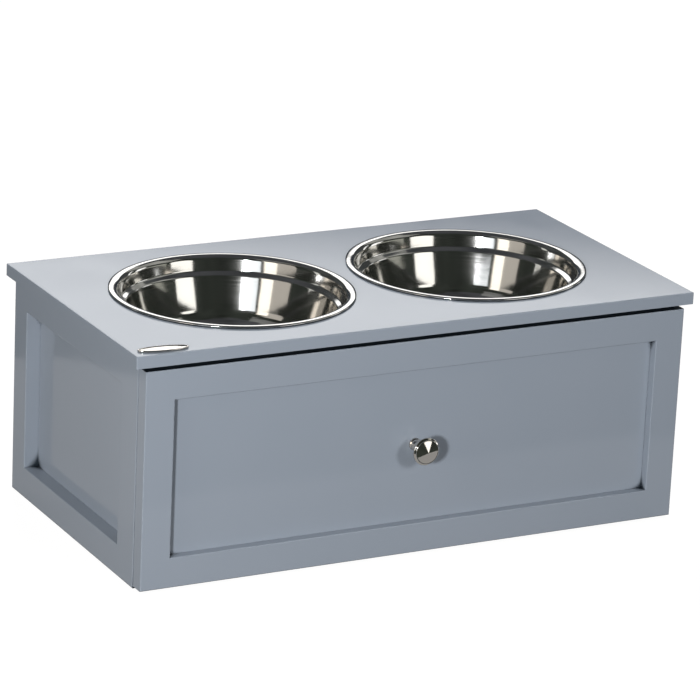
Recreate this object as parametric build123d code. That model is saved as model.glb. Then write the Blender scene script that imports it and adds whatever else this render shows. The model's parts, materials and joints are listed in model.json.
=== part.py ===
from build123d import *
import os

# Elevated dog feeder: a low cabinet of painted fibreboard with two lift-out steel bowls in its top
# and one drawer that runs on roller runners. Millimetres. X runs across the front, Y from front to
# back and Z up. The origin is on the floor, under the middle of the whole object, knob included.

# Stand
board_width = 600.0
board_depth = 310.0
board_thickness = 12.0
stand_height = 235.0
side_overhang = 10.0
arris = 1.0

# Framed sides
side_thickness = 18.0
side_front_stile = 37.0
side_rear_stile = 30.0
side_rail = 31.0
side_panel_thickness = 3.0

# Frame joints, shared by the sides and the drawer front
panel_lap = 8.0
panel_play = 0.3
tongue_length = 10.0
tongue_shoulder = 5.0
joint_play = 0.1

# Side tongues, measured in from the outer face
side_tongue_thickness = 5.0
side_tongue_cover = 3.0

# Bottom board and back panel
bottom_board_thickness = 12.0
bottom_board_lift = 6.0
back_panel_thickness = 9.0
back_panel_inset = 5.0
back_groove_depth = 5.0

# Drawer front
front_thickness = 16.0
front_gap = 2.0
front_foot_gap = 3.0
front_head_gap = 4.0
front_frame_width = 30.0
front_recess = 9.5
front_tongue_thickness = 4.0
front_tongue_cover = 3.0

# Drawer box
drawer_board = 12.0
drawer_height = 125.0
drawer_back_gap = 16.0
drawer_bottom_thickness = 3.0
drawer_groove_depth = 5.0
drawer_groove_height = 8.0

# Bowls
bowl_spacing = 258.0
bowl_from_front = 155.0
bowl_rim_radius = 120.0
bowl_mouth_radius = 111.0
bowl_sheet = 0.8
bowl_roll_radius = 1.1
bowl_rest_gap = 0.2
bowl_depth = 72.0
collar_depth = 15.5
collar_taper = 3.2
ridge_depth = 2.9
ridge_step = 4.9
bowl_floor_radius = 86.2
mouth_bend = 2.5
ridge_bend = 2.5
floor_bend = 30.0
cutout_play = 0.8

# Roller runners
runner_gap = 13.0
runner_setback = 2.0
runner_back_gap = 26.0
runner_sheet = 1.2
runner_lift = 2.5
channel_inner_height = 21.5
channel_foot_width = 10.5
channel_head_width = 9.0
track_below_channel_head = 1.0
track_width = 9.5
roller_radius = 9.0
roller_width = 5.5
roller_gap = 0.3
roller_edge = 0.6
roller_hub_radius = 4.4
roller_tread = 2.4
roller_dish_depth = 0.8
roller_end_distance = 12.0
roller_side_play = 0.3
pin_radius = 2.4
pin_shoulder = 1.0
pin_shoulder_radius = 3.6
pin_head = 0.8
pin_head_radius = 4.0

# Knob, turned about its own axis, with its lengths measured from its seat
knob_length = 28.5
knob_foot_radius = 6.2
knob_foot_height = 1.6
knob_step_radius = 5.2
knob_step_height = 4.2
knob_neck_radius = 4.0
knob_neck_length = 9.0
knob_head_radius = 13.8
knob_head_start = 22.6
knob_band = 1.4
knob_lip_radius = 11.9
knob_lip_height = 26.0
knob_cone_radius = 11.2
knob_back_rise = 0.35
knob_hole_depth = 14.0

# Plate on the top board
plate_length = 50.0
plate_width = 14.5
plate_thickness = 1.2
plate_rim_width = 1.5
plate_rim_height = 0.6
plate_turn = -4.0
plate_from_left = 32.0
plate_from_front = 12.5

# Fasteners
hole_play = 0.05
end_play = 0.5
cam_radius = 5.9
cam_height = 9.3
cam_bolt_depth = 6.0
cam_reach = 16.0
cam_slot_radius = 3.1
cam_bolt_radius = 2.5
cam_bolt_grip = 8.0
cam_bolt_neck_radius = 1.5
cam_bolt_neck = 4.0
cam_bolt_head_radius = 2.8
cam_bolt_head = 2.4
top_cam_front_inset = 15.0
top_cam_rear_inset = 22.0
bottom_cam_inset = 57.0
dowel_radius = 3.0
dowel_length = 25.0
dowel_edge_cover = 8.0
dowel_side_cover = 4.0
dowel_bevel = 0.6
top_dowel_inset = 82.0
bottom_dowel_inset = 92.0
wood_screw_radius = 1.75
wood_screw_head_radius = 3.4
wood_screw_head = 1.6
wood_screw_length = 12.0
runner_screw_count = 3
runner_screw_end_distance = 45.0
channel_screw_height = 5.5
drawer_screw_height = 6.0
drawer_runner_screw_length = 9.0
box_screw_radius = 2.0
box_screw_head_radius = 3.9
box_screw_head = 2.4
box_screw_length = 34.0
box_screw_inset = 28.0
front_screw_length = 16.0
front_screw_from_side = 47.0
front_screw_inset = 28.0
knob_screw_radius = 2.0
knob_screw_length = 30.0
knob_screw_head_radius = 4.0
knob_screw_head = 2.2
recess_width = 0.9
closing_pad_radius = 4.0
closing_pad_gap = 0.3
closing_pad_inset = 14.0

# Places worked out from the sizes
knob_stand_out = knob_length - front_recess
board_front = knob_stand_out - (board_depth + knob_stand_out) / 2
board_back = board_front + board_depth
board_top = stand_height
board_underside = stand_height - board_thickness
side_outer = board_width / 2 - side_overhang
side_inner = side_outer - side_thickness
front_back_face = board_front + front_thickness
panel_front_face = board_front + front_recess
cabinet_front = front_back_face + front_gap
bottom_board_top = bottom_board_lift + bottom_board_thickness
front_low = front_foot_gap
front_high = board_underside - front_head_gap
front_middle = (front_low + front_high) / 2

os.makedirs("parts", exist_ok=True)


def block(x, y, z):
    """A box between two corners, given as a pair of places along each axis."""
    middle = ((x[0] + x[1]) / 2, (y[0] + y[1]) / 2, (z[0] + z[1]) / 2)
    return Pos(*middle) * Box(x[1] - x[0], y[1] - y[0], z[1] - z[0])


def grown(pair, amount):
    """A pair of places with each end moved outwards."""
    return (pair[0] - amount, pair[1] + amount)


def rod(start, direction, radius, length):
    """A round bar that starts at a point and runs along a direction."""
    return extrude(Plane(origin=start, z_dir=direction) * Circle(radius), length)


def turned(outline):
    """A turned piece from its half outline, with radius along X and its axis along Z."""
    profile = Plane.XZ * make_face(Polyline(*outline, close=True))
    return revolve(profile, Axis.Z)


def aimed(piece, start, direction, across=None):
    """A piece made along Z, moved to a point and turned to a direction, with its X along across."""
    return Plane(origin=start, x_dir=across, z_dir=direction).location * piece


def both_sides(piece):
    """The right-hand piece and its mirror image on the left."""
    return {"right": piece, "left": mirror(piece, about=Plane.YZ)}


def save(name, *pieces):
    """Writes one piece, or a group of separate pieces, under a name."""
    solids = [solid for piece in pieces for solid in piece.solids()]
    shape = solids[0] if len(solids) == 1 else Compound(children=solids)
    export_step(shape, f"parts/{name}.step")


# Fasteners: each maker gives the piece, and each hole maker the hole that it sits in.


def cross_recess(radius, depth):
    """The cross in the top of a screw head, cut down from Z = 0."""
    arm = Box(radius * 1.2, recess_width, depth, align=(Align.CENTER, Align.CENTER, Align.MAX))
    return arm + Rot(0, 0, 90) * arm


def pan_screw(radius, length, head_radius, head_height):
    """A screw along -Z whose rounded head stands on Z = 0."""
    crown = head_height / 3
    head = turned([(0, 0), (head_radius, 0), (head_radius, head_height - crown),
                   (head_radius - crown, head_height), (0, head_height)])
    point = turned([(0, 0), (radius, 0), (radius, radius - length), (radius / 4, -length), (0, -length)])
    return head + point - Pos(0, 0, head_height) * cross_recess(head_radius, head_height / 2)


def sunk_screw(radius, length, head_radius, head_height):
    """A screw along -Z whose flat head lies level with Z = 0."""
    body = turned([(0, 0), (head_radius, 0), (radius, -head_height), (radius, radius - length),
                   (radius / 4, -length), (0, -length)])
    return body - cross_recess(head_radius, head_height / 2)


def sunk_hole(radius, length, head_radius, head_height):
    """The hole for a sunk screw, with play all round."""
    return turned([(0, hole_play), (head_radius + hole_play, hole_play), (head_radius + hole_play, 0),
                   (radius + hole_play, -head_height), (radius + hole_play, -length - end_play),
                   (0, -length - end_play)])


def cam_bolt():
    """A cam bolt on Z: threaded below the joint face at Z = 0, with its head in the cam above."""
    shaft_top = cam_reach - cam_bolt_head / 2 - cam_bolt_neck
    head_low = cam_reach - cam_bolt_head / 2
    head_high = cam_reach + cam_bolt_head / 2
    return turned([(0, -cam_bolt_grip), (cam_bolt_radius, -cam_bolt_grip), (cam_bolt_radius, shaft_top),
                   (cam_bolt_neck_radius, shaft_top), (cam_bolt_neck_radius, head_low),
                   (cam_bolt_head_radius, head_low), (cam_bolt_head_radius, head_high), (0, head_high)])


def cam_disc():
    """A cam with its screwdriver face on Z = 0 and its slot facing -Y, towards the joint."""
    disc = Pos(0, 0, -cam_height / 2) * Cylinder(cam_radius, cam_height)
    slot_end = (0, cam_bolt_head / 2 + end_play, -cam_bolt_depth)
    slot = rod(slot_end, (0, -1, 0), cam_slot_radius, cam_radius + cam_bolt_head)
    return disc - slot - cross_recess(cam_radius, cam_height / 6)


def cam_hole():
    """The pocket for a cam, cut down from Z = 0."""
    depth = cam_height + end_play
    return Pos(0, 0, -depth / 2) * Cylinder(cam_radius + hole_play, depth)


def dowel():
    """A wooden dowel on Z, centred on the joint face at Z = 0."""
    return chamfer(Cylinder(dowel_radius, dowel_length).edges(), dowel_bevel)


# Top board: fibreboard with two round cut-outs for the bowls.

bowl_x = bowl_spacing / 2
bowl_y = board_front + bowl_from_front
cutout_radius = bowl_mouth_radius + bowl_sheet + cutout_play

board_half = board_width / 2
top_board = block((-board_half, board_half), (board_front, board_back), (board_underside, board_top))
for x in (-bowl_x, bowl_x):
    top_board -= rod((x, bowl_y, board_underside), (0, 0, 1), cutout_radius, board_thickness)
outer_edges = top_board.faces().sort_by(Axis.Z)[-1].edges() + top_board.edges().filter_by(Axis.Z)
top_board = fillet(outer_edges, arris)

# Side frame: one outline, softened all round its outer face, then cut into stiles and rails.

side_x = (side_inner, side_outer)
side_y = (cabinet_front, board_back)
side_z = (0, board_underside)
side_open_y = (cabinet_front + side_front_stile, board_back - side_rear_stile)
side_open_z = (side_rail, board_underside - side_rail)
side_frame = block(side_x, side_y, side_z) - block(side_x, side_open_y, side_open_z)
side_frame = fillet(side_frame.faces().sort_by(Axis.X)[-1].edges(), arris)
rebate_x = (side_inner, side_inner + side_panel_thickness)
side_frame -= block(rebate_x, grown(side_open_y, panel_lap), grown(side_open_z, panel_lap))
groove_y = (board_back - back_panel_inset - back_panel_thickness, board_back - back_panel_inset)
side_frame -= block((side_inner, side_inner + back_groove_depth), grown(groove_y, joint_play), side_z)
panel_reach = panel_lap - panel_play
side_panel = block(rebate_x, grown(side_open_y, panel_reach), grown(side_open_z, panel_reach))

tongue_x = (side_outer - side_tongue_cover - side_tongue_thickness, side_outer - side_tongue_cover)
side_pieces = {}
side_pieces["front_stile"] = side_frame & block(side_x, (cabinet_front, side_open_y[0]), side_z)
side_pieces["rear_stile"] = side_frame & block(side_x, (side_open_y[1], board_back), side_z)
rail_heights = {"bottom_rail": (0, side_open_z[0]), "top_rail": (side_open_z[1], board_underside)}
for name, rail_z in rail_heights.items():
    rail = side_frame & block(side_x, side_open_y, rail_z)
    tongue_z = grown(rail_z, -tongue_shoulder)
    tongue_y = grown(side_open_y, tongue_length)
    socket = block(grown(tongue_x, joint_play), grown(tongue_y, end_play), grown(tongue_z, joint_play))
    side_pieces["front_stile"] -= socket
    side_pieces["rear_stile"] -= socket
    side_pieces[name] = rail + block(tongue_x, tongue_y, tongue_z)

# Bottom board between the sides, and the back panel that slides in the rear stiles' grooves.

bottom_board = block((-side_inner, side_inner), side_y, (bottom_board_lift, bottom_board_top))
back_half = side_inner + back_groove_depth - panel_play
back_panel = block((-back_half, back_half), groove_y, (bottom_board_top, board_underside - panel_play))

# Cams, bolts and dowels: the sides carry the top board, and the bottom board hangs between them.

cam_bolts = []
cam_discs = []
dowels = []
top_joint_x = side_inner + cam_bolt_depth
for y in (cabinet_front + top_cam_front_inset, board_back - top_cam_rear_inset):
    joint = (top_joint_x, y, board_underside)
    cam_place = ((side_inner, y, board_underside - cam_reach), (-1, 0, 0), (0, 1, 0))
    bolt = aimed(cam_bolt(), joint, (0, 0, -1))
    cam = aimed(cam_disc(), *cam_place)
    shank_hole = rod(joint, (0, 0, -1), cam_slot_radius, cam_reach)
    stile = "front_stile" if y < bowl_y else "rear_stile"
    side_pieces[stile] -= aimed(cam_hole(), *cam_place) + shank_hole
    grip_hole = rod(joint, (0, 0, 1), cam_bolt_radius + hole_play, cam_bolt_grip + end_play)
    top_board -= grip_hole
    top_board -= mirror(grip_hole, about=Plane.YZ)
    cam_bolts += both_sides(bolt).values()
    cam_discs += both_sides(cam).values()

bottom_joint_z = bottom_board_lift + cam_bolt_depth
for y in (cabinet_front + bottom_cam_inset, board_back - bottom_cam_inset):
    joint = (side_inner, y, bottom_joint_z)
    cam_place = ((side_inner - cam_reach, y, bottom_board_lift), (0, 0, -1), (0, -1, 0))
    bolt = aimed(cam_bolt(), joint, (-1, 0, 0))
    cam = aimed(cam_disc(), *cam_place)
    grip_hole = rod(joint, (1, 0, 0), cam_bolt_radius + hole_play, cam_bolt_grip + end_play)
    side_pieces["bottom_rail"] -= grip_hole
    pockets = aimed(cam_hole(), *cam_place) + rod(joint, (-1, 0, 0), cam_slot_radius, cam_reach)
    bottom_board -= pockets
    bottom_board -= mirror(pockets, about=Plane.YZ)
    cam_bolts += both_sides(bolt).values()
    cam_discs += both_sides(cam).values()

dowel_hole_radius = dowel_radius + hole_play
top_dowel_shift = dowel_length / 2 - (board_thickness - dowel_side_cover)
for y in (cabinet_front + top_dowel_inset, board_back - top_dowel_inset):
    middle = (side_outer - side_thickness / 2, y, board_underside - top_dowel_shift)
    hole_low = (middle[0], y, middle[2] - dowel_length / 2 - end_play)
    hole = rod(hole_low, (0, 0, 1), dowel_hole_radius, dowel_length + 2 * end_play)
    side_pieces["top_rail"] -= hole
    top_board -= hole
    top_board -= mirror(hole, about=Plane.YZ)
    dowels += both_sides(Pos(*middle) * dowel()).values()

bottom_dowel_shift = dowel_length / 2 - (side_thickness - dowel_edge_cover)
for y in (cabinet_front + bottom_dowel_inset, board_back - bottom_dowel_inset):
    middle = (side_inner - bottom_dowel_shift, y, bottom_joint_z)
    hole_inner = (middle[0] - dowel_length / 2 - end_play, y, bottom_joint_z)
    hole = rod(hole_inner, (1, 0, 0), dowel_hole_radius, dowel_length + 2 * end_play)
    side_pieces["bottom_rail"] -= hole
    bottom_board -= hole
    bottom_board -= mirror(hole, about=Plane.YZ)
    dowels += both_sides(Pos(*middle) * Rot(0, 90, 0) * dowel()).values()

# Bowls: one sheet of steel, spun to a flat rolled rim, a collar, a ridge and a tapered wall.

rim_top = board_top + bowl_rest_gap + 2 * bowl_roll_radius
collar_radius = bowl_mouth_radius - collar_taper
wall_radius = collar_radius - ridge_step
roll_middle_radius = bowl_rim_radius - bowl_roll_radius
wall_line = FilletPolyline(
    (0, -bowl_depth),
    (bowl_floor_radius, -bowl_depth),
    (wall_radius, -collar_depth - ridge_depth),
    (collar_radius, -collar_depth),
    (bowl_mouth_radius, 0),
    (roll_middle_radius, 0),
    radius=(floor_bend, ridge_bend, ridge_bend, mouth_bend),
)
rim_roll = ThreePointArc(
    (roll_middle_radius, 0),
    (bowl_rim_radius, -bowl_roll_radius),
    (roll_middle_radius, -2 * bowl_roll_radius),
)
sheet_line = Wire(wall_line.edges() + rim_roll.edges())
sheet_profile = make_face(offset(sheet_line, bowl_sheet, side=Side.RIGHT).edges())
bowl = revolve(Plane.XZ * sheet_profile, Axis.Z)

# Plate on the top board: an oval blank with a raised rim.

plate = extrude(Ellipse(plate_length / 2, plate_width / 2), plate_thickness + plate_rim_height)
plate_field = Ellipse(plate_length / 2 - plate_rim_width, plate_width / 2 - plate_rim_width)
plate -= Pos(0, 0, plate_thickness) * extrude(plate_field, plate_rim_height)
plate_x = plate_from_left - board_half
plate_y = board_front + plate_from_front
plate = Pos(plate_x, plate_y, board_top) * Rot(0, 0, plate_turn) * plate

# Roller runners: a channel on each side of the cabinet, and an angle with a track on the drawer.

drawer_outer = side_inner - runner_gap
channel_low = bottom_board_top + runner_lift
channel_floor = channel_low + runner_sheet
channel_ceiling = channel_floor + channel_inner_height
channel_web_face = side_inner - runner_sheet
runner_y = (cabinet_front + runner_setback, groove_y[0] - runner_back_gap)
channel = block((channel_web_face, side_inner), runner_y, (channel_low, channel_ceiling + runner_sheet))
channel += block((side_inner - channel_foot_width, side_inner), runner_y, (channel_low, channel_floor))
channel_head_z = (channel_ceiling, channel_ceiling + runner_sheet)
channel += block((side_inner - channel_head_width, side_inner), runner_y, channel_head_z)

track_high = channel_ceiling - track_below_channel_head
track_low = track_high - runner_sheet
rear_roller_z = channel_floor + roller_gap + roller_radius
front_roller_z = track_low - roller_gap - roller_radius
front_roller_y = runner_y[0] + roller_end_distance
rear_roller_y = runner_y[1] - roller_end_distance

drawer_low = channel_floor + runner_sheet + runner_lift
drawer_high = drawer_low + drawer_height
angle_web = (drawer_outer, drawer_outer + runner_sheet)
angle = block(angle_web, runner_y, (drawer_low - runner_sheet, track_high))
angle_foot_z = (drawer_low - runner_sheet, drawer_low)
angle += block((drawer_outer - drawer_board, angle_web[1]), runner_y, angle_foot_z)
angle += block((drawer_outer, drawer_outer + track_width), runner_y, (track_low, track_high))

roller_bore = pin_radius + hole_play
tread_inner = roller_radius - roller_tread
roller = turned([
    (roller_bore, 0),
    (roller_hub_radius, 0),
    (roller_hub_radius, roller_dish_depth),
    (tread_inner, roller_dish_depth),
    (tread_inner, 0),
    (roller_radius - roller_edge, 0),
    (roller_radius, roller_edge),
    (roller_radius, roller_width - roller_edge),
    (roller_radius - roller_edge, roller_width),
    (tread_inner, roller_width),
    (tread_inner, roller_width - roller_dish_depth),
    (roller_hub_radius, roller_width - roller_dish_depth),
    (roller_hub_radius, roller_width),
    (roller_bore, roller_width),
])

# A roller pin on Z: its foot fills the hole in the web, then a shoulder, the shank and a head.
roller_start = pin_shoulder + roller_side_play
pin_end = roller_start + roller_width + roller_side_play
roller_pin = turned([
    (0, -runner_sheet),
    (pin_radius, -runner_sheet),
    (pin_radius, 0),
    (pin_shoulder_radius, 0),
    (pin_shoulder_radius, pin_shoulder),
    (pin_radius, pin_shoulder),
    (pin_radius, pin_end),
    (pin_head_radius, pin_end),
    (pin_head_radius, pin_end + pin_head),
    (0, pin_end + pin_head),
])

front_pin_place = ((channel_web_face, front_roller_y, front_roller_z), (-1, 0, 0))
rear_pin_place = ((angle_web[1], rear_roller_y, rear_roller_z), (1, 0, 0))
front_roller = aimed(Pos(0, 0, roller_start) * roller, *front_pin_place)
rear_roller = aimed(Pos(0, 0, roller_start) * roller, *rear_pin_place)
front_pin = aimed(roller_pin, *front_pin_place)
rear_pin = aimed(roller_pin, *rear_pin_place)
channel -= rod((channel_web_face, front_roller_y, front_roller_z), (1, 0, 0), roller_bore, runner_sheet)
angle -= rod((drawer_outer, rear_roller_y, rear_roller_z), (1, 0, 0), roller_bore, runner_sheet)

# Drawer box: two long sides, an inner front and a back between them, and a bottom in grooves.

box_y = (front_back_face, groove_y[0] - drawer_back_gap)
box_z = (drawer_low, drawer_high)
drawer_inner = drawer_outer - drawer_board
groove_low = drawer_low + drawer_groove_height
groove_z = (groove_low, groove_low + drawer_bottom_thickness)
inner_front_y = (box_y[0], box_y[0] + drawer_board)
drawer_back_y = (box_y[1] - drawer_board, box_y[1])
drawer_side = block((drawer_inner, drawer_outer), box_y, box_z)
drawer_side = fillet(drawer_side.faces().sort_by(Axis.Z)[-1].edges().filter_by(Axis.Y), arris)
groove_cut_y = (inner_front_y[1] - drawer_groove_depth, box_y[1])
bottom_half = drawer_inner + drawer_groove_depth
groove_cut = block((-bottom_half, bottom_half), groove_cut_y, grown(groove_z, joint_play))
drawer_side -= groove_cut
inner_front = block((-drawer_inner, drawer_inner), inner_front_y, box_z) - groove_cut
drawer_back = block((-drawer_inner, drawer_inner), drawer_back_y, (groove_z[1], drawer_high))
drawer_bottom_y = (groove_cut_y[0] + panel_play, box_y[1])
drawer_bottom = block((panel_play - bottom_half, bottom_half - panel_play), drawer_bottom_y, groove_z)

# Drawer front: a frame with a recessed panel, made like the sides.

front_x = (-side_outer, side_outer)
front_y = (board_front, front_back_face)
front_z = (front_low, front_high)
front_open_x = grown(front_x, -front_frame_width)
front_open_z = grown(front_z, -front_frame_width)
panel_y = (panel_front_face, front_back_face)
front_frame = block(front_x, front_y, front_z) - block(front_open_x, front_y, front_open_z)
front_frame = fillet(front_frame.faces().sort_by(Axis.Y)[0].edges(), arris)
front_frame -= block(grown(front_open_x, panel_lap), panel_y, grown(front_open_z, panel_lap))
front_panel = block(grown(front_open_x, panel_reach), panel_y, grown(front_open_z, panel_reach))
front_stile = front_frame & block((front_open_x[1], front_x[1]), front_y, front_z)
front_tongue_face = board_front + front_tongue_cover
front_tongue_y = (front_tongue_face, front_tongue_face + front_tongue_thickness)
front_tongue_x = grown(front_open_x, tongue_length)
front_rails = {}
for name, rail_z in {"bottom": (front_z[0], front_open_z[0]), "top": (front_open_z[1], front_z[1])}.items():
    tongue_z = grown(rail_z, -tongue_shoulder)
    rail = front_frame & block(front_open_x, front_y, rail_z)
    front_rails[name] = rail + block(front_tongue_x, front_tongue_y, tongue_z)
    socket_y = grown(front_tongue_y, joint_play)
    front_stile -= block(grown(front_tongue_x, end_play), socket_y, grown(tongue_z, joint_play))

pad_thickness = front_gap - closing_pad_gap
closing_pads = []
for x in (-side_outer + closing_pad_inset, side_outer - closing_pad_inset):
    for z in grown(front_z, -closing_pad_inset):
        closing_pads.append(rod((x, front_back_face, z), (0, 1, 0), closing_pad_radius, pad_thickness))

# Knob: one turned piece with a stepped foot, a slim neck and a shallow cone for a face.

knob_outline = [
    (0, 0),
    (knob_foot_radius, 0),
    (knob_foot_radius, knob_foot_height),
    (knob_step_radius, (knob_foot_height + knob_step_height) / 2),
    (knob_step_radius, knob_step_height),
    (knob_neck_radius, (knob_step_height + knob_neck_length) / 2),
]
knob_back = Spline(
    knob_outline[-1],
    (knob_neck_radius, knob_neck_length),
    (knob_head_radius, knob_head_start),
    tangents=((0, 1), (1, knob_back_rise)),
)
knob_face = Polyline(
    (knob_head_radius, knob_head_start),
    (knob_head_radius, knob_head_start + knob_band),
    (knob_lip_radius, knob_head_start + 2 * knob_band),
    (knob_lip_radius, knob_lip_height),
    (knob_cone_radius, knob_lip_height),
    (0, knob_length),
    (0, 0),
)
knob_profile = make_face(Polyline(*knob_outline).edges() + knob_back.edges() + knob_face.edges())
knob = revolve(Plane.XZ * knob_profile, Axis.Z)
knob_middle = (0, panel_front_face, front_middle)
knob = aimed(knob, knob_middle, (0, -1, 0))
knob -= rod(knob_middle, (0, -1, 0), knob_screw_radius + hole_play, knob_hole_depth)

knob_screw_seat = (0, inner_front_y[1], front_middle)
knob_screw = aimed(
    pan_screw(knob_screw_radius, knob_screw_length, knob_screw_head_radius, knob_screw_head),
    knob_screw_seat,
    (0, 1, 0),
)
knob_passage_length = inner_front_y[1] - panel_front_face
knob_passage = rod(knob_screw_seat, (0, -1, 0), knob_screw_radius + hole_play, knob_passage_length)
inner_front -= knob_passage
front_panel -= knob_passage

# Screws of the runners, of the drawer box and of the drawer front.

channel_screws = []
angle_screws = []
screw_hole_radius = wood_screw_radius + hole_play
first_screw_y = runner_y[0] + runner_screw_end_distance
last_screw_y = runner_y[1] - runner_screw_end_distance
runner_screw_pitch = (last_screw_y - first_screw_y) / (runner_screw_count - 1)
for place in range(runner_screw_count):
    y = first_screw_y + place * runner_screw_pitch
    seat = (channel_web_face, y, channel_floor + channel_screw_height)
    screw = pan_screw(wood_screw_radius, wood_screw_length, wood_screw_head_radius, wood_screw_head)
    channel_screws += both_sides(aimed(screw, seat, (-1, 0, 0))).values()
    hole = rod(seat, (1, 0, 0), screw_hole_radius, wood_screw_length + end_play)
    channel -= hole
    side_panel -= hole
    side_pieces["bottom_rail"] -= hole
    seat = (angle_web[1], y, drawer_low + drawer_screw_height)
    length = drawer_runner_screw_length
    screw = pan_screw(wood_screw_radius, length, wood_screw_head_radius, wood_screw_head)
    angle_screws += both_sides(aimed(screw, seat, (1, 0, 0))).values()
    hole = rod(seat, (-1, 0, 0), screw_hole_radius, length + end_play)
    angle -= hole
    drawer_side -= hole

box_screws = []
for y in ((inner_front_y[0] + inner_front_y[1]) / 2, (drawer_back_y[0] + drawer_back_y[1]) / 2):
    for z in (drawer_low + box_screw_inset, drawer_high - box_screw_inset):
        seat = (drawer_outer, y, z)
        screw = sunk_screw(box_screw_radius, box_screw_length, box_screw_head_radius, box_screw_head)
        box_screws += both_sides(aimed(screw, seat, (1, 0, 0))).values()
        hole = sunk_hole(box_screw_radius, box_screw_length, box_screw_head_radius, box_screw_head)
        hole = aimed(hole, seat, (1, 0, 0))
        drawer_side -= hole
        for each in both_sides(hole).values():
            inner_front -= each
            drawer_back -= each

front_screws = []
for x in (front_screw_from_side - drawer_inner, drawer_inner - front_screw_from_side):
    for z in (drawer_low + front_screw_inset, drawer_high - front_screw_inset):
        seat = (x, inner_front_y[1], z)
        screw = sunk_screw(wood_screw_radius, front_screw_length, wood_screw_head_radius, wood_screw_head)
        front_screws.append(aimed(screw, seat, (0, 1, 0)))
        hole = sunk_hole(wood_screw_radius, front_screw_length, wood_screw_head_radius, wood_screw_head)
        hole = aimed(hole, seat, (0, 1, 0))
        inner_front -= hole
        front_panel -= hole

# Every piece under its own name.

save("top_board", top_board)
save("bottom_board", bottom_board)
save("back_panel", back_panel)
for piece_name, piece in side_pieces.items():
    for hand, shape in both_sides(piece).items():
        save(f"{hand}_{piece_name}", shape)
for hand, shape in both_sides(side_panel).items():
    save(f"{hand}_side_panel", shape)
save("cam_bolts", *cam_bolts)
save("cam_discs", *cam_discs)
save("dowels", *dowels)
save("oval_plate", plate)

for hand, x in {"left": -bowl_x, "right": bowl_x}.items():
    save(f"{hand}_bowl", Pos(x, bowl_y, rim_top) * bowl)

runner_shapes = {
    "cabinet_runner": channel,
    "drawer_runner": angle,
    "front_roller": front_roller,
    "rear_roller": rear_roller,
    "drawer_side": drawer_side,
    "front_frame_stile": front_stile,
}
for piece_name, piece in runner_shapes.items():
    for hand, shape in both_sides(piece).items():
        save(f"{hand}_{piece_name}", shape)
save("front_roller_pins", *both_sides(front_pin).values())
save("rear_roller_pins", *both_sides(rear_pin).values())
save("cabinet_runner_screws", *channel_screws)
save("drawer_runner_screws", *angle_screws)

save("drawer_inner_front", inner_front)
save("drawer_back", drawer_back)
save("drawer_bottom", drawer_bottom)
save("drawer_box_screws", *box_screws)
for name, rail in front_rails.items():
    save(f"front_frame_{name}_rail", rail)
save("front_panel", front_panel)
save("front_screws", *front_screws)
save("closing_pads", *closing_pads)
save("drawer_knob", knob)
save("knob_screw", knob_screw)
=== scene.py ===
import bmesh
import bpy
import json
import math
from mathutils import Matrix, Vector


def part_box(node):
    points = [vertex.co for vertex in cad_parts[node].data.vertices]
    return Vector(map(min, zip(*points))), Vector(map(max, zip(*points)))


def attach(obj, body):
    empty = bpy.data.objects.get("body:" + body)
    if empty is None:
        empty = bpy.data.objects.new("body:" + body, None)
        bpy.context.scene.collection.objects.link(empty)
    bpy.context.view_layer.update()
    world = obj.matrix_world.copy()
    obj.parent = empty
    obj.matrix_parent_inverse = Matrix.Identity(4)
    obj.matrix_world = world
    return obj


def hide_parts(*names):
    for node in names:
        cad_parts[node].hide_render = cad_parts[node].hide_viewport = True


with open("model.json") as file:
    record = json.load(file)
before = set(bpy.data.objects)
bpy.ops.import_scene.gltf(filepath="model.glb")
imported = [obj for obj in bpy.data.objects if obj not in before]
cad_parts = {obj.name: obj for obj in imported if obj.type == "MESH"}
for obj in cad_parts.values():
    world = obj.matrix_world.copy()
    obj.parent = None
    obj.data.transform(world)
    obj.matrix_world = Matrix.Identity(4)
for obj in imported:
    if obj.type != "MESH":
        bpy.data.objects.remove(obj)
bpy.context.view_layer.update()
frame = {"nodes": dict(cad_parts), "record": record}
nodes = frame["nodes"]


# Camera. A long lens at the stand's front left, a little above the top board, as for a shop
# picture. The whole camera leans by under three degrees, so the stand's uprights lean with it.

camera_azimuth = math.radians(28.176)
camera_elevation = math.radians(18.099)
camera_lean = math.radians(2.680)
camera_place = Vector((-1.71062, -3.18944, 1.34620))
film_width = 36
lens_length = 198.9
ahead = Vector((
    math.sin(camera_azimuth) * math.cos(camera_elevation),
    math.cos(camera_azimuth) * math.cos(camera_elevation),
    -math.sin(camera_elevation),
))
level_right = ahead.cross(Vector((0, 0, 1))).normalized()
level_up = level_right.cross(ahead)
camera_right = level_right * math.cos(camera_lean) + level_up * math.sin(camera_lean)
camera_up = level_up * math.cos(camera_lean) - level_right * math.sin(camera_lean)
camera_data = bpy.data.cameras.new("long_lens")
camera_data.sensor_width = film_width
camera_data.lens = lens_length
camera_data.clip_end = 100
camera = bpy.data.objects.new("long_lens", camera_data)
camera_turn = Matrix((camera_right, camera_up, -ahead)).transposed().to_4x4()
camera.matrix_world = Matrix.Translation(camera_place) @ camera_turn
bpy.context.scene.collection.objects.link(camera)
bpy.context.scene.camera = camera
bpy.context.scene.view_settings.view_transform = "Standard"


# Studio. A pale floor in a white room. Two softboxes stand in front, the left one with a flash head
# in it, cards and strips at both sides, and a wide softbox behind. Dark cloth hangs behind the
# lamps and lies on the floor, because polished steel only shows what is round it.


def linear(colour):
    """An sRGB hex colour as linear red, green, blue and alpha."""
    parts = [int(colour[i:i + 2], 16) / 255 for i in (1, 3, 5)]
    return [c / 12.92 if c <= 0.04045 else ((c + 0.055) / 1.055) ** 2.4 for c in parts] + [1.0]


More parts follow.
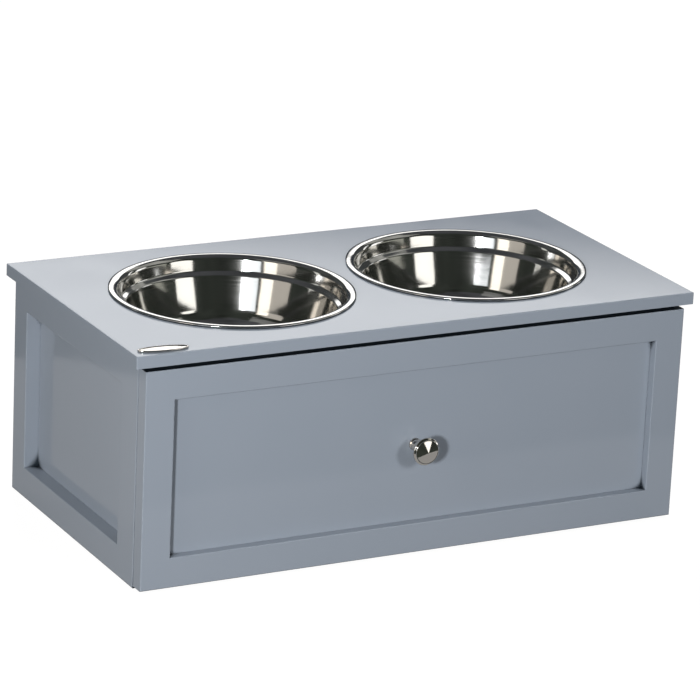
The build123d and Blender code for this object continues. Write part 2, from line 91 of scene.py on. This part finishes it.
def add(tree, kind, inputs=None, **settings):
    """Adds a node with its settings; an input is a plain value or another node's output."""
    made = tree.nodes.new(kind)
    for name, value in settings.items():
        setattr(made, name, value)
    for name, value in (inputs or {}).items():
        if isinstance(value, bpy.types.NodeSocket):
            tree.links.new(value, made.inputs[name])
        else:
            made.inputs[name].default_value = value
    return made


def empty_material(name):
    """A new material with no nodes in it yet."""
    material = bpy.data.materials.new(name)
    material.use_nodes = True
    material.node_tree.nodes.clear()
    return material, material.node_tree


def mesh_object(name, shape):
    """A scene object from a finished bmesh."""
    data = bpy.data.meshes.new(name)
    shape.to_mesh(data)
    shape.free()
    made = bpy.data.objects.new(name, data)
    bpy.context.scene.collection.objects.link(made)
    return made


world = bpy.data.worlds.new("white_room")
bpy.context.scene.world = world
world.use_nodes = True
tree = world.node_tree
tree.nodes.clear()
# the room is white where it is seen or mirrored, and adds next to no light of its own
rays = add(tree, "ShaderNodeLightPath")
seen = add(tree, "ShaderNodeMath", {0: rays.outputs["Is Camera Ray"], 1: rays.outputs["Is Glossy Ray"]},
           operation="MAXIMUM")
seen = add(tree, "ShaderNodeMath", {0: seen.outputs[0], 1: rays.outputs["Is Transmission Ray"]},
           operation="MAXIMUM")
fill = add(tree, "ShaderNodeBackground", {"Color": linear("#e8effa"), "Strength": 0.04})
white = add(tree, "ShaderNodeBackground", {"Color": (1, 1, 1, 1), "Strength": 1.0})
mixed = add(tree, "ShaderNodeMixShader", {0: seen.outputs[0], 1: fill.outputs[0], 2: white.outputs[0]})
add(tree, "ShaderNodeOutputWorld", {"Surface": mixed.outputs[0]})

# the lamps' light comes on top of the glow, so that the floor just reaches white for the camera
camera_glow = 0.95
mirror_glow = 0.3
floor_reach = 16
floor_shape = bmesh.new()
bmesh.ops.create_grid(floor_shape, x_segments=8, y_segments=8, size=floor_reach)
floor = mesh_object("studio_floor", floor_shape)
paper, tree = empty_material("white_paper_floor")
rays = add(tree, "ShaderNodeLightPath")
seen = add(tree, "ShaderNodeMath",
           {0: rays.outputs["Is Camera Ray"], 1: rays.outputs["Is Transmission Ray"]},
           operation="MAXIMUM")
place = add(tree, "ShaderNodeTexCoord")
cloud = add(tree, "ShaderNodeTexNoise", {"Vector": place.outputs["Object"], "Scale": 1.4, "Detail": 1.0})
tone = add(tree, "ShaderNodeMix",
           {0: cloud.outputs["Fac"], "A": linear("#65625f"), "B": linear("#62605e")},
           data_type="RGBA")
matte = add(tree, "ShaderNodeBsdfDiffuse", {"Color": tone.outputs["Result"]})
mirrored = add(tree, "ShaderNodeMath", {0: rays.outputs["Is Glossy Ray"], 1: mirror_glow},
               operation="MULTIPLY")
glow_amount = add(tree, "ShaderNodeMath", {0: seen.outputs[0], 1: camera_glow, 2: mirrored.outputs[0]},
                  operation="MULTIPLY_ADD")
glow = add(tree, "ShaderNodeEmission", {"Color": (1, 1, 1, 1), "Strength": glow_amount.outputs[0]})
paper_sum = add(tree, "ShaderNodeAddShader", {0: matte.outputs[0], 1: glow.outputs[0]})
add(tree, "ShaderNodeOutputMaterial", {"Surface": paper_sum.outputs[0]})
floor.data.materials.append(paper)


def standing(name, azimuths, distance, heights, radiance, colour, shape="RECTANGLE", roll=0):
    """An upright soft lamp that faces the stand, from one azimuth to another and between two heights."""
    facing = math.radians(sum(azimuths) / 2)
    width = 2 * distance * math.tan(math.radians(azimuths[1] - azimuths[0]) / 2)
    height = heights[1] - heights[0]
    area = width * height * (math.pi / 4 if shape == "ELLIPSE" else 1)
    lamp = bpy.data.lights.new(name, "AREA")
    lamp.shape = shape
    lamp.size, lamp.size_y = width, height
    lamp.color = linear(colour)[:3]
    lamp.energy = radiance * math.pi * area
    holder = bpy.data.objects.new(name, lamp)
    bpy.context.scene.collection.objects.link(holder)
    holder.location = (distance * math.sin(facing), -distance * math.cos(facing), sum(heights) / 2)
    upright = Matrix.Rotation(facing, 3, "Z") @ Matrix.Rotation(math.pi / 2, 3, "X")
    holder.rotation_euler = (upright @ Matrix.Rotation(math.radians(roll), 3, "Z")).to_euler()
    holder.visible_camera = False
    return holder


# azimuths are in degrees from straight in front, to the right; distances and heights in metres
front_softbox = standing("front_softbox", (12, 38.5), 1.44, (0.06, 0.80), 1.7, "#fffdf8", "ELLIPSE")
left_softbox = standing("left_softbox", (-57.5, -38.5), 2.2, (0.10, 0.95), 1.6, "#f4f9ff")
for softbox in (front_softbox, left_softbox):
    # the flash heads below do their lighting
    softbox.visible_diffuse = False
standing("left_flash_head", (-45, -39.5), 2.6, (0.62, 0.90), 284, "#fbfcff", "ELLIPSE")
standing("left_white_card", (-75, -62), 1.6, (0.05, 0.95), 1.35, "#fff6ea")
standing("left_grey_card", (-95, -61), 1.7, (0.0, 1.1), 0.66, "#f3ebe1")
standing("right_strip", (75, 90), 2.4, (0.0, 1.2), 1.6, "#ffffff")
standing("right_slit", (101, 105), 2.4, (0.0, 1.2), 1.5, "#ffffff")
standing("left_slit", (-126, -118), 2.4, (0.0, 1.2), 0.8, "#f4f4ee")
standing("rear_softbox", (134, 177), 3.0, (1.12, 2.50), 1.02, "#ffffff", roll=-3)

# bare heads that light the lacquer and throw the shadows, left out of the mirror finishes
for name, azimuths, distance, heights, radiance in (
    ("front_flash_head", (4, 17), 2.4, (0.75, 1.30), 26),
    ("rear_flash_head", (154, 166), 3.0, (2.35, 2.95), 165),
    ("left_high_fill", (-105, -60), 2.0, (1.1, 2.3), 1.0),
):
    standing(name, azimuths, distance, heights, radiance, "#fdfdff", "ELLIPSE").visible_glossy = False


def cloth(name, rails, colour):
    """Studio cloth between two rails of points, which only mirror-like surfaces show."""
    shape = bmesh.new()
    posts = [[shape.verts.new(point) for point in post] for post in zip(*rails)]
    for one, two in zip(posts, posts[1:]):
        shape.faces.new((one[0], two[0], two[1], one[1]))
    made = mesh_object(name, shape)
    felt, tree = empty_material(name + "_felt")
    place = add(tree, "ShaderNodeTexCoord")
    # folds and uneven light, over about 1.2 m
    folds = add(tree, "ShaderNodeTexNoise",
                {"Vector": place.outputs["Object"], "Scale": 0.8, "Detail": 2.0})
    dim = add(tree, "ShaderNodeMath", {0: folds.outputs["Fac"], 1: 2.0}, operation="MULTIPLY")
    shade = add(tree, "ShaderNodeEmission", {"Color": linear(colour), "Strength": dim.outputs[0]})
    add(tree, "ShaderNodeOutputMaterial", {"Surface": shade.outputs[0]})
    made.data.materials.append(felt)
    made.visible_camera = False
    made.visible_diffuse = False
    made.visible_shadow = False


def ring_line(azimuths, radius, height):
    """Points round the stand from one azimuth to another, at one distance and height."""
    steps = 36
    first, last = azimuths
    angles = [math.radians(first + (last - first) * i / steps) for i in range(steps + 1)]
    return [(radius * math.sin(a), -radius * math.cos(a), height) for a in angles]


ceiling = 3.5
for name, azimuths, radius, heights, colour in (
    ("front_cloth", (-118, 100), 2.7, (0.0, ceiling), "#343834"),
    ("right_low_card", (44, 80), 2.2, (0.0, 0.62), "#96978f"),
    ("rear_right_cloth", (100, 134.5), 3.1, (0.0, ceiling), "#484b4c"),
    ("rear_right_high_card", (108, 134), 3.0, (1.9, 2.75), "#c4c5c1"),
    ("rear_low_cloth", (134, 178), 3.1, (0.0, 1.09), "#3c4046"),
    ("rear_high_cloth", (134, 178), 3.3, (2.6, ceiling), "#3c4046"),
    ("rear_left_cloth", (178, 242), 3.1, (0.0, ceiling), "#484b4c"),
    ("right_high_card", (42, 112), 2.3, (1.5, 3.4), "#a9aaa6"),
    ("left_high_card", (-110, -58), 2.3, (2.0, 3.4), "#7c7d7c"),
):
    cloth(name, [ring_line(azimuths, radius, height) for height in heights], colour)
everywhere = (0, 360)
tent_radius = 3.2
ceiling_rails = [ring_line(everywhere, radius, ceiling) for radius in (0.0, tent_radius)]
cloth("ceiling_cloth", ceiling_rails, "#4a4c4f")
# the floor cloth stops short of the stand, in a straight line along its front
cloth_height, bare_radius, bare_front = 0.002, 0.70, -0.35
near_line = [(x, max(y, bare_front), z) for x, y, z in ring_line(everywhere, bare_radius, cloth_height)]
cloth("floor_cloth", [near_line, ring_line(everywhere, tent_radius, cloth_height)], "#343834")


# Painted boards. Medium-density fibreboard, sawn, sanded and sprayed with a blue-grey satin
# lacquer; the framed sides and drawer front are glued up from strips round a thin panel.


def sprayed_lacquer(name, along=None):
    """Satin lacquer on sanded fibreboard, with faint sanding streaks along one axis where given."""
    material, tree = empty_material(name)
    place = add(tree, "ShaderNodeTexCoord")
    # spray cloud: the coat varies over about 60 mm
    cloud = add(tree, "ShaderNodeTexNoise",
                {"Vector": place.outputs["Object"], "Scale": 1 / 0.06, "Detail": 2.0, "Roughness": 0.45})
    tone = add(tree, "ShaderNodeMix",
               {0: cloud.outputs["Fac"], "A": linear("#949da7"), "B": linear("#979fa9")},
               data_type="RGBA")
    # painted shade: in slots a few millimetres wide, such as round the drawer front, the colour is
    # darkened towards near black where ambient occlusion finds less open air than an inner corner has,
    # fully from 0.4 and not at all above 0.49
    slot_openness = add(tree, "ShaderNodeAmbientOcclusion", {"Distance": 0.02}, samples=16)
    painted_gap_shade = add(tree, "ShaderNodeMapRange",
               {"Value": slot_openness.outputs["AO"], "From Min": 0.49, "From Max": 0.4})
    # the lacquer's tone with the painted shade of the slots mixed in
    coat = add(tree, "ShaderNodeMix",
               {0: painted_gap_shade.outputs["Result"], "A": tone.outputs["Result"], "B": linear("#232a31")},
               data_type="RGBA")
    # orange peel: real cells are about 1.5 mm, drawn at 2.4 mm so that they show
    peel = add(tree, "ShaderNodeTexNoise",
               {"Vector": place.outputs["Object"], "Scale": 1 / 0.0024, "Detail": 2.0, "Roughness": 0.5})
    height = peel.outputs["Fac"]
    if along is not None:
        # sanding streaks: 2 mm apart and some 80 mm long, just seen where light glances off
        sizes = [1 / 0.002] * 3
        sizes[along] = 1 / 0.08
        stretched = add(tree, "ShaderNodeMapping", {"Vector": place.outputs["Object"], "Scale": sizes})
        streaks = add(tree, "ShaderNodeTexNoise",
                      {"Vector": stretched.outputs[0], "Scale": 1.0, "Detail": 2.0, "Roughness": 0.6})
        height = add(tree, "ShaderNodeMath", {0: peel.outputs["Fac"], 1: streaks.outputs["Fac"]},
                     operation="ADD").outputs[0]
    relief = add(tree, "ShaderNodeBump", {"Height": height, "Strength": 0.2, "Distance": 0.00002})
    gloss = add(tree, "ShaderNodeMapRange",
                {"Value": cloud.outputs["Fac"], "From Min": 0.3, "From Max": 0.7,
                 "To Min": 0.08, "To Max": 0.11})
    shader = add(tree, "ShaderNodeBsdfPrincipled",
                 {"Base Color": coat.outputs["Result"], "Roughness": gloss.outputs["Result"],
                  "Normal": relief.outputs["Normal"], "IOR": 1.5})
    add(tree, "ShaderNodeOutputMaterial", {"Surface": shader.outputs[0]})
    return material


def finish(slot_name, material):
    """Gives all CAD pieces of one material slot their finish."""
    for part in frame["record"]["subparts"]:
        if part["material_slot"] == slot_name:
            slots = nodes[part["node"]].data.materials
            slots.clear()
            slots.append(material)


finish("painted_fibreboard", sprayed_lacquer("sprayed_satin_lacquer"))
nodes["top_board"].data.materials[0] = sprayed_lacquer("sprayed_satin_lacquer_across", along=0)


# Bowls. One disc of stainless steel each, spun over a former to a flat rolled rim, a short collar,
# a ridge and a tapered wall, then buffed to a mirror. They hang by the rim in the board's cut-outs.


def rounded(corners, bends, step=math.radians(5)):
    """Points along a line through corners, with an arc of the given radius at each inner corner."""
    line = [Vector(corners[0])]
    for before, corner, after, radius in zip(corners, corners[1:], corners[2:], bends):
        corner = Vector(corner)
        back = (Vector(before) - corner).normalized()
        on = (Vector(after) - corner).normalized()
        half = back.angle(on) / 2
        centre = corner + (back + on).normalized() * radius / math.sin(half)
        start = corner + back * radius / math.tan(half) - centre
        end = corner + on * radius / math.tan(half) - centre
        sweep = start.angle_signed(end)
        count = max(3, math.ceil(abs(sweep) / step))
        for i in range(count + 1):
            turn = Matrix.Rotation(-sweep * i / count, 2)
            line.append(centre + turn @ start)
    line.append(Vector(corners[-1]))
    return line


def supported(line, margin):
    """The same line with extra points close to both ends of each long straight stretch."""
    held = [line[0]]
    for a, b in zip(line, line[1:]):
        span = (b - a).length
        if span > 4 * margin:
            held += [a + (b - a) * margin / span, b - (b - a) * margin / span]
        held.append(b)
    return held


def turned(name, outline, segments=256):
    """A mesh turned about Z from points of radius and height; a point at no radius closes it."""
    shape = bmesh.new()
    rings = []
    for radius, height in outline:
        if radius < 1e-7:
            rings.append([shape.verts.new((0, 0, height))] * segments)
            continue
        ring = []
        for i in range(segments):
            angle = 2 * math.pi * i / segments
            ring.append(shape.verts.new((radius * math.cos(angle), radius * math.sin(angle), height)))
        rings.append(ring)
    for low, high in zip(rings, rings[1:]):
        for i in range(segments):
            j = (i + 1) % segments
            corners = []
            for vertex in (low[i], low[j], high[j], high[i]):
                if vertex not in corners:
                    corners.append(vertex)
            if len(corners) > 2:
                shape.faces.new(corners).smooth = True
    bmesh.ops.recalc_face_normals(shape, faces=shape.faces)
    return mesh_object(name, shape)


def offset_line(line, amount):
    """The line, moved to its right-hand side by a sheet's thickness."""
    moved = []
    for i, point in enumerate(line):
        way = line[min(i + 1, len(line) - 1)] - line[max(i - 1, 0)]
        way.normalize()
        moved.append(point + Vector((way[1], -way[0])) * amount)
    return moved


mirror_steel, tree = empty_material("buffed_stainless_steel")
place = add(tree, "ShaderNodeTexCoord")
sides = add(tree, "ShaderNodeSeparateXYZ", {0: place.outputs["Object"]})
flat = add(tree, "ShaderNodeCombineXYZ", {0: sides.outputs[0], 1: sides.outputs[1]})
radius_out = add(tree, "ShaderNodeVectorMath", {0: flat.outputs[0]}, operation="LENGTH")
# buffing rings: real ones are 0.1 mm apart, drawn at 0.9 mm so that they show
ring_place = add(tree, "ShaderNodeCombineXYZ", {0: radius_out.outputs["Value"], 1: sides.outputs[2]})
rings_noise = add(tree, "ShaderNodeTexNoise",
                  {"Vector": ring_place.outputs[0], "Scale": 1 / 0.0009, "Detail": 3.0, "Roughness": 0.6})
# the wall wavers by a few hundredths of a millimetre over some 25 mm from spinning
waver = add(tree, "ShaderNodeTexNoise",
            {"Vector": place.outputs["Object"], "Scale": 1 / 0.025, "Detail": 2.0, "Roughness": 0.5})
relief = add(tree, "ShaderNodeBump",
             {"Height": waver.outputs["Fac"], "Strength": 0.5, "Distance": 0.0002})
relief_two = add(tree, "ShaderNodeBump",
                 {"Height": rings_noise.outputs["Fac"], "Strength": 0.2, "Distance": 0.000004,
                  "Normal": relief.outputs[0]})
steel_gloss = add(tree, "ShaderNodeMapRange",
                  {"Value": rings_noise.outputs["Fac"], "From Min": 0.3, "From Max": 0.7,
                   "To Min": 0.06, "To Max": 0.11})
steel_tone = add(tree, "ShaderNodeMix",
                 {0: waver.outputs["Fac"], "A": linear("#cfcdc9"), "B": linear("#d3d2cf")},
                 data_type="RGBA")
shader = add(tree, "ShaderNodeBsdfPrincipled",
             {"Base Color": steel_tone.outputs["Result"], "Metallic": 1.0,
              "Roughness": steel_gloss.outputs["Result"], "Normal": relief_two.outputs[0]})
add(tree, "ShaderNodeOutputMaterial", {"Surface": shader.outputs[0]})


def middle(node):
    """The middle of a CAD piece's box, to a tenth of a millimetre."""
    return [round((low + high) / 2, 4) for low, high in zip(*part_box(node))]


# heights count down from the rim's top: floor, tapered wall, ridge, collar and flat of the rim
sheet = 0.0008
bowl_depth = 0.072
rim_radius = 0.1200
rim_crown = 0.0026
rim_roll = 0.0011
bowl_line = rounded(
    [(0, -bowl_depth), (0.0862, -bowl_depth), (0.1029, -0.0184), (0.1078, -0.0155), (0.111, 0),
     (rim_radius - rim_crown, 0)],
    [0.030, 0.0025, 0.0025, 0.006],
)
# the rolled edge is half a circle, with its upper quarter drawn out to the rim's crown
roll_steps = 12
roll_arc = []
for i in range(1, roll_steps + 1):
    angle = math.pi * i / roll_steps
    wide = rim_crown if i <= roll_steps / 2 else rim_roll
    edge = Vector((rim_radius - wide + wide * math.sin(angle), rim_roll * math.cos(angle) - rim_roll))
    roll_arc.append(edge)
bowl_line = supported(bowl_line, 0.0006) + roll_arc
bowl_outline = bowl_line + list(reversed(offset_line(bowl_line, sheet)))
bowl_outline[-1] = Vector((0, -bowl_depth - sheet))
for hand in ("left", "right"):
    bowl = turned(f"{hand}_spun_bowl", bowl_outline)
    bowl.location = middle(f"{hand}_bowl")[:2] + [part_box(f"{hand}_bowl")[1].z]
    bowl.data.materials.append(mirror_steel)
    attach(bowl, f"{hand}_bowl")
    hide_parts(f"{hand}_bowl")


# Knob. Turned from zinc alloy and plated with bright nickel, with a stepped foot, a slim neck and a
# mushroom head whose face is a shallow cone inside a raised lip. A screw from behind holds it.

nickel, tree = empty_material("bright_nickel_plate")
place = add(tree, "ShaderNodeTexCoord")
# plating follows the casting under it, which undulates over some 5 mm
undulation = add(tree, "ShaderNodeTexNoise",
                 {"Vector": place.outputs["Object"], "Scale": 1 / 0.005, "Detail": 2.0, "Roughness": 0.5})
relief = add(tree, "ShaderNodeBump",
             {"Height": undulation.outputs["Fac"], "Strength": 0.3, "Distance": 0.00005})
nickel_tone = add(tree, "ShaderNodeMix",
                  {0: undulation.outputs["Fac"], "A": linear("#d8d3cc"), "B": linear("#dcd8d2")},
                  data_type="RGBA")
nickel_gloss = add(tree, "ShaderNodeMapRange",
                   {"Value": undulation.outputs["Fac"], "To Min": 0.05, "To Max": 0.09})
shader = add(tree, "ShaderNodeBsdfPrincipled",
             {"Base Color": nickel_tone.outputs["Result"], "Metallic": 1.0,
              "Roughness": nickel_gloss.outputs["Result"], "Normal": relief.outputs[0]})
add(tree, "ShaderNodeOutputMaterial", {"Surface": shader.outputs[0]})

# radius and height in millimetres, from the drawer's panel outwards
mm = 0.001
neck = 4.0
head = 13.8
back_steps = 16
knob_back = []
for i in range(1, back_steps + 1):
    # the head's hollow back is one smooth curve from the neck to the head's edge
    t = i / back_steps
    a, b, c, d = (1 - t) ** 3, 3 * t * (1 - t) ** 2, 3 * t * t * (1 - t), t ** 3
    radius = (a + b) * neck + c * 9.6 + d * head
    height = a * 9.0 + b * 15.2 + c * 21.1 + d * 22.6
    knob_back.append((radius, height))
knob_corners = [(0, 0), (6.2, 0), (6.2, 1.6), (5.2, 2.9), (5.2, 4.2), (neck, 6.6), (neck, 9.0)]
knob_foot = rounded(knob_corners, [0.25, 0.25, 0.3, 0.3, 0.8])
knob_head = rounded([knob_back[-1], (head, 24.0), (11.9, 25.4), (11.9, 26.0), (11.2, 26.0), (0, 28.5)],
                    [1.0, 0.6, 0.12, 0.12])
knob_outline = [Vector(p) for p in knob_foot[:-1] + knob_back[:-1] + knob_head]
knob_outline = supported([p * mm for p in knob_outline], 0.00025)
knob = turned("turned_knob", knob_outline, segments=160)
knob.rotation_euler = (math.pi / 2, 0, 0)
knob.location = (0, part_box("drawer_knob")[1].y, middle("drawer_knob")[2])
knob.data.materials.append(nickel)
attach(knob, "drawer")
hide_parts("drawer_knob")


# Oval plate. A small blank of the same plated alloy, die-cast with a raised rim round a bare field,
# glued near the front left corner of the top board and set by hand, so a few degrees off square.

# millimetres in from the plate's edge and up from the board: edge, rim's crown, step and bare field
plate_rings = [(0, 0), (0, 1.35), (0.15, 1.68), (0.45, 1.8), (1.05, 1.8), (1.35, 1.68), (1.5, 1.45),
               (1.62, 1.25), (1.9, 1.2), (3.5, 1.24), (5.5, 1.3), (6.9, 1.32)]
half_length, half_width = 25.0, 7.25
sides_round = 128
plate_shape = bmesh.new()
plate_loops = []
for inset, height in plate_rings:
    loop = []
    for i in range(sides_round):
        angle = 2 * math.pi * i / sides_round
        x = (half_length - inset) * math.cos(angle)
        y = (half_width - inset) * math.sin(angle)
        loop.append(plate_shape.verts.new((x * mm, y * mm, height * mm)))
    plate_loops.append(loop)
for low, high in zip(plate_loops, plate_loops[1:]):
    for i in range(sides_round):
        j = (i + 1) % sides_round
        plate_shape.faces.new((low[i], low[j], high[j], high[i])).smooth = True
plate_shape.faces.new(plate_loops[-1]).smooth = True
plate_shape.faces.new(list(reversed(plate_loops[0])))
plate = mesh_object("blank_oval_plate", plate_shape)
plate.location = middle("oval_plate")[:2] + [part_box("oval_plate")[0].z]
plate.rotation_euler = (0, 0, math.radians(-4))
plate.data.materials.append(nickel)
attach(plate, "cabinet")
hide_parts("oval_plate")


# Runners. Channels and angles rolled from steel strip and coated with white epoxy powder, which
# leaves a fine pebbled skin. Screws hold them to the sides and under the drawer box.

epoxy, tree = empty_material("white_epoxy_powder_coat")
place = add(tree, "ShaderNodeTexCoord")
pebble = add(tree, "ShaderNodeTexNoise",
             {"Vector": place.outputs["Object"], "Scale": 1 / 0.0008, "Detail": 2.0, "Roughness": 0.55})
smudge = add(tree, "ShaderNodeTexNoise",
             {"Vector": place.outputs["Object"], "Scale": 1 / 0.03, "Detail": 3.0})
relief = add(tree, "ShaderNodeBump",
             {"Height": pebble.outputs["Fac"], "Strength": 0.4, "Distance": 0.00004})
epoxy_tone = add(tree, "ShaderNodeMix",
                 {0: smudge.outputs["Fac"], "A": linear("#e6e5df"), "B": linear("#efeeea")},
                 data_type="RGBA")
shader = add(tree, "ShaderNodeBsdfPrincipled",
             {"Base Color": epoxy_tone.outputs["Result"], "Roughness": 0.38,
              "Normal": relief.outputs[0], "IOR": 1.55})
add(tree, "ShaderNodeOutputMaterial", {"Surface": shader.outputs[0]})
finish("coated_steel", epoxy)


# Rollers. Natural nylon, injection moulded, slightly milky and worn a little shiny on the tread.
# Each turns on a steel pin that is riveted through its runner.

nylon, tree = empty_material("moulded_natural_nylon")
place = add(tree, "ShaderNodeTexCoord")
flow = add(tree, "ShaderNodeTexNoise",
           {"Vector": place.outputs["Object"], "Scale": 1 / 0.003, "Detail": 3.0, "Roughness": 0.5})
nylon_tone = add(tree, "ShaderNodeMix",
                 {0: flow.outputs["Fac"], "A": linear("#e2dfd2"), "B": linear("#ebe9df")},
                 data_type="RGBA")
nylon_gloss = add(tree, "ShaderNodeMapRange",
                  {"Value": flow.outputs["Fac"], "To Min": 0.32, "To Max": 0.48})
shader = add(tree, "ShaderNodeBsdfPrincipled",
             {"Base Color": nylon_tone.outputs["Result"], "Roughness": nylon_gloss.outputs["Result"],
              "IOR": 1.53, "Subsurface Weight": 0.15, "Subsurface Scale": 0.002})
add(tree, "ShaderNodeOutputMaterial", {"Surface": shader.outputs[0]})
finish("nylon", nylon)


# Screws, cam bolts and roller pins. Cold-headed steel with a bright zinc plate, which has a faint
# blue-yellow bloom from its passivation and small handling marks.

zinc_plate, tree = empty_material("bright_zinc_plate")
place = add(tree, "ShaderNodeTexCoord")
bloom = add(tree, "ShaderNodeTexNoise",
            {"Vector": place.outputs["Object"], "Scale": 1 / 0.004, "Detail": 2.0})
marks = add(tree, "ShaderNodeTexNoise",
            {"Vector": place.outputs["Object"], "Scale": 1 / 0.0006, "Detail": 3.0, "Roughness": 0.7})
bloom_tone = add(tree, "ShaderNodeMix",
                 {0: bloom.outputs["Fac"], "A": linear("#b7bcc6"), "B": linear("#c4c1b6")},
                 data_type="RGBA")
relief = add(tree, "ShaderNodeBump",
             {"Height": marks.outputs["Fac"], "Strength": 0.3, "Distance": 0.00002})
zinc_gloss = add(tree, "ShaderNodeMapRange",
                 {"Value": marks.outputs["Fac"], "To Min": 0.2, "To Max": 0.38})
shader = add(tree, "ShaderNodeBsdfPrincipled",
             {"Base Color": bloom_tone.outputs["Result"], "Metallic": 1.0,
              "Roughness": zinc_gloss.outputs["Result"], "Normal": relief.outputs[0]})
add(tree, "ShaderNodeOutputMaterial", {"Surface": shader.outputs[0]})
finish("zinc_plated_steel", zinc_plate)


# Cams. Die-cast zinc, left as cast: dull grey with the fine grain of the die. Pressed into bores in
# the boards, they turn to draw the cam bolts tight.

cast_zinc, tree = empty_material("die_cast_zinc")
place = add(tree, "ShaderNodeTexCoord")
grain = add(tree, "ShaderNodeTexNoise",
            {"Vector": place.outputs["Object"], "Scale": 1 / 0.0007, "Detail": 3.0, "Roughness": 0.6})
cast_tone = add(tree, "ShaderNodeMix",
                {0: grain.outputs["Fac"], "A": linear("#8d8f92"), "B": linear("#a3a5a7")},
                data_type="RGBA")
relief = add(tree, "ShaderNodeBump",
             {"Height": grain.outputs["Fac"], "Strength": 0.5, "Distance": 0.00004})
shader = add(tree, "ShaderNodeBsdfPrincipled",
             {"Base Color": cast_tone.outputs["Result"], "Metallic": 1.0, "Roughness": 0.5,
              "Normal": relief.outputs[0]})
add(tree, "ShaderNodeOutputMaterial", {"Surface": shader.outputs[0]})
finish("cast_zinc", cast_zinc)


# Dowels. Turned beech, raw, with its short darker flecks along the grain. They are pushed into
# blind holes and keep the sides in line with the boards.

beech, tree = empty_material("raw_beech")
place = add(tree, "ShaderNodeTexCoord")
fleck_place = add(tree, "ShaderNodeMapping",
                  {"Vector": place.outputs["Object"], "Scale": (1 / 0.0006, 1 / 0.0006, 1 / 0.005)})
flecks = add(tree, "ShaderNodeTexNoise",
             {"Vector": fleck_place.outputs[0], "Scale": 1.0, "Detail": 3.0, "Roughness": 0.6})
beech_tone = add(tree, "ShaderNodeMix",
                 {0: flecks.outputs["Fac"], "A": linear("#b98f62"), "B": linear("#d9b88d")},
                 data_type="RGBA")
relief = add(tree, "ShaderNodeBump",
             {"Height": flecks.outputs["Fac"], "Strength": 0.4, "Distance": 0.00005})
shader = add(tree, "ShaderNodeBsdfPrincipled",
             {"Base Color": beech_tone.outputs["Result"], "Roughness": 0.6,
              "Normal": relief.outputs[0], "IOR": 1.5})
add(tree, "ShaderNodeOutputMaterial", {"Surface": shader.outputs[0]})
finish("beech", beech)


# Closing pads. Small domes of clear soft polyurethane with a faint haze, stuck behind the drawer
# front's corners so that it shuts softly, 2 mm off the sides.

clear_pad, tree = empty_material("clear_soft_polyurethane")
place = add(tree, "ShaderNodeTexCoord")
haze = add(tree, "ShaderNodeTexNoise",
           {"Vector": place.outputs["Object"], "Scale": 1 / 0.002, "Detail": 2.0})
pad_tone = add(tree, "ShaderNodeMix",
               {0: haze.outputs["Fac"], "A": linear("#d3d6d6"), "B": linear("#e2e4e4")},
               data_type="RGBA")
shader = add(tree, "ShaderNodeBsdfPrincipled",
             {"Base Color": pad_tone.outputs["Result"], "Roughness": 0.25, "IOR": 1.5,
              "Transmission Weight": 0.5})
add(tree, "ShaderNodeOutputMaterial", {"Surface": shader.outputs[0]})
finish("clear_rubber", clear_pad)
